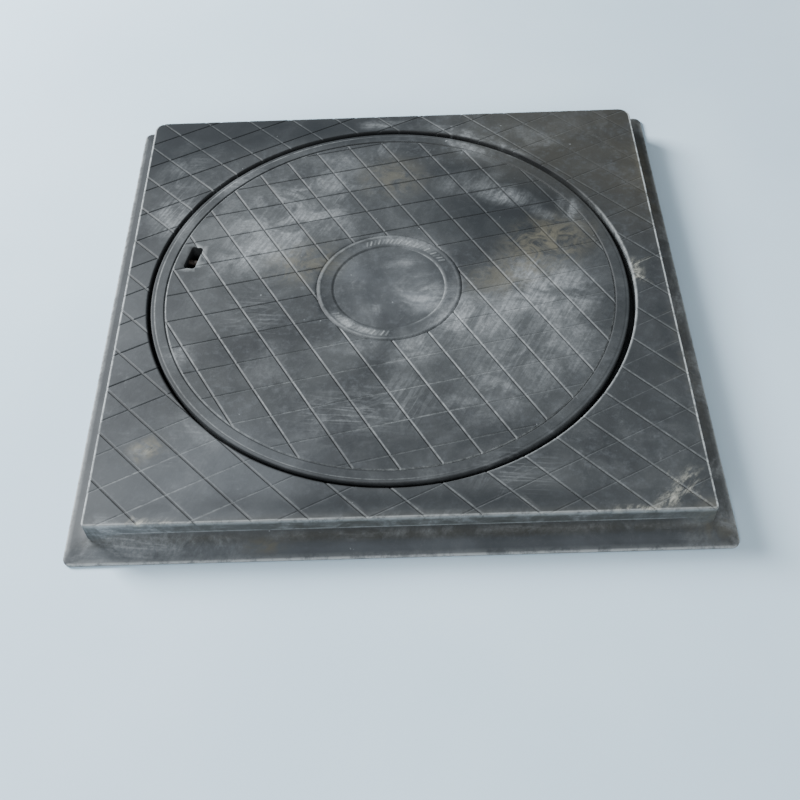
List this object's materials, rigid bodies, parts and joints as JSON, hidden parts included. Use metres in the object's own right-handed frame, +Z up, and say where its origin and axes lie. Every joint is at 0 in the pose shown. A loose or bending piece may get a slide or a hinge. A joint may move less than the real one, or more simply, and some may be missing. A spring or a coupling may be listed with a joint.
{
  "type": "manhole cover",
  "caption": "Round lift-out manhole lid with a diamond grid of grooves, a central medallion and a lifting slot, in a square frame with a flared base flange.",
  "frame": {"origin": "middle of the base flange's underside", "axes": "+Z up, out of the lid's face; X and Y along the sides of the square frame, the lifting slot near -X"},
  "size_m": [0.85, 0.85, 0.0488],
  "materials": {
    "frame_composite": "moulded resin composite, worn and dusty",
    "lid_composite": "moulded resin composite, worn, with pale dust and brown stains",
    "rusty_steel": "rusted steel bar",
    "black_plastic": "plain moulded plastic",
    "zinc_steel": "zinc plated",
    "black_rubber": "matt rubber"
  },
  "bodies": {
    "frame": {"frame": "frame_composite"},
    "gasket": {"seat_gasket": "black_rubber"},
    "lid": {"lid": "lid_composite", "lifting_bar": "rusty_steel", "key_pocket": "black_plastic", "pocket_screw_1": "zinc_steel", "pocket_screw_2": "zinc_steel", "pocket_screw_3": "zinc_steel", "pocket_screw_4": "zinc_steel"}
  },
  "joints": [
    {"name": "lid_turn", "type": "hinge", "parent": "frame", "child": "gasket", "pos_m": [-0.008, 0.002, 0.022], "axis": [0, 0, 1], "continuous": true},
    {"name": "lid_lift", "type": "slide", "parent": "gasket", "child": "lid", "axis": [0, 0, 1], "range_m": [0, 0.2]}
  ]
}
